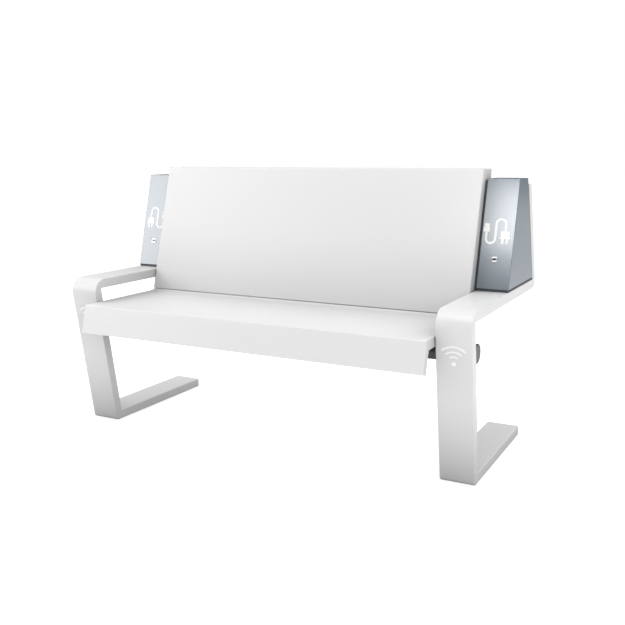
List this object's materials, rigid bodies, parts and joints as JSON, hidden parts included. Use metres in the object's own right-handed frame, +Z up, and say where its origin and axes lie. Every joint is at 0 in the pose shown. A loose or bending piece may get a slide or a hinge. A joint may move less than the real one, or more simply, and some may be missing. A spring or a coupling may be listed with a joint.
{
  "type": "solar charging bench",
  "caption": "Street bench with bent side frames, folded seat, solar module at the back and a charging pod with socket on each armrest.",
  "frame": {"origin": "on the ground, under the middle of the whole bench's box", "axes": "+X along the bench's length, to the left of someone who sits on it, +Y from the front to the back, +Z up"},
  "size_m": [1.5, 0.8426, 0.939],
  "materials": {
    "white_paint": "smooth satin-gloss white powder coat",
    "blue_grey_coat": "satin metallic blue-grey coat on a moulded shell",
    "dark_plastic": "matt dark blue-grey plastic",
    "dark_paint": "satin dark grey powder coat",
    "black_rubber": "matt black rubber",
    "plated_shell": "bright plated shell",
    "zinc_steel": "zinc-plated steel",
    "black_plastic": "fine matt black plastic",
    "controller_case": "dark anodised finned case",
    "battery_case": "matt grey battery case",
    "module_aluminium": "satin anodised aluminium",
    "module_glass": "clear tempered glass",
    "solar_cells": "dark blue solar cells in clear film"
  },
  "bodies": {
    "root": {"left_side_frame": "white_paint", "right_side_frame": "white_paint", "left_foot_end_cap": "white_paint", "right_foot_end_cap": "white_paint", "left_upright_end_cap": "white_paint", "right_upright_end_cap": "white_paint", "front_cross_tube": "dark_paint", "left_tube_end_cap": "dark_paint", "right_tube_end_cap": "dark_paint", "left_tube_clamp": "dark_paint", "right_tube_clamp": "dark_paint", "seat_panel": "white_paint", "backrest_shell": "white_paint", "left_isolation_pad": "black_rubber", "right_isolation_pad": "black_rubber", "rear_cross_tube": "dark_paint", "left_cross_tube_end_plate": "dark_paint", "right_cross_tube_end_plate": "dark_paint", "seat_bearer_1": "dark_paint", "seat_bearer_2": "dark_paint", "seat_bearer_3": "dark_paint", "seat_bearer_4": "dark_paint", "bay_floor": "white_paint", "door_hinge_leaf": "zinc_steel", "door_hinge_pin": "zinc_steel", "left_pod_shell": "blue_grey_coat", "left_pod_base": "dark_plastic", "left_pod_liner": "dark_plastic", "right_pod_shell": "blue_grey_coat", "right_pod_base": "dark_plastic", "right_pod_liner": "dark_plastic", "left_socket_shell": "plated_shell", "left_socket_tongue": "black_plastic", "left_socket_flange": "zinc_steel", "left_charger_module": "black_plastic", "right_socket_shell": "plated_shell", "right_socket_tongue": "black_plastic", "right_socket_flange": "zinc_steel", "right_charger_module": "black_plastic", "left_cable_grommet": "black_rubber", "right_cable_grommet": "black_rubber", "wifi_router": "black_plastic", "wifi_aerial_1": "black_plastic", "wifi_aerial_2": "black_plastic", "solar_frame": "module_aluminium", "solar_glass": "module_glass", "solar_cell_sheet": "solar_cells", "junction_box": "black_plastic", "battery": "battery_case", "battery_bracket": "zinc_steel", "equipment_plate": "zinc_steel", "charge_controller": "controller_case"},
    "service_door": {"service_door": "white_paint", "lock_housing": "zinc_steel"},
    "lock_cam": {"lock_cam": "zinc_steel"}
  },
  "joints": [
    {"name": "door_hinge", "type": "hinge", "parent": "root", "child": "service_door", "pos_m": [0, 0.11537, 0.5092], "axis": [-1, 0, 0], "range_deg": [0, 95]},
    {"name": "lock_turn", "type": "hinge", "parent": "service_door", "child": "lock_cam", "pos_m": [0, 0.31723, 0.515], "axis": [0, 0, 1], "range_deg": [0, 90]}
  ]
}
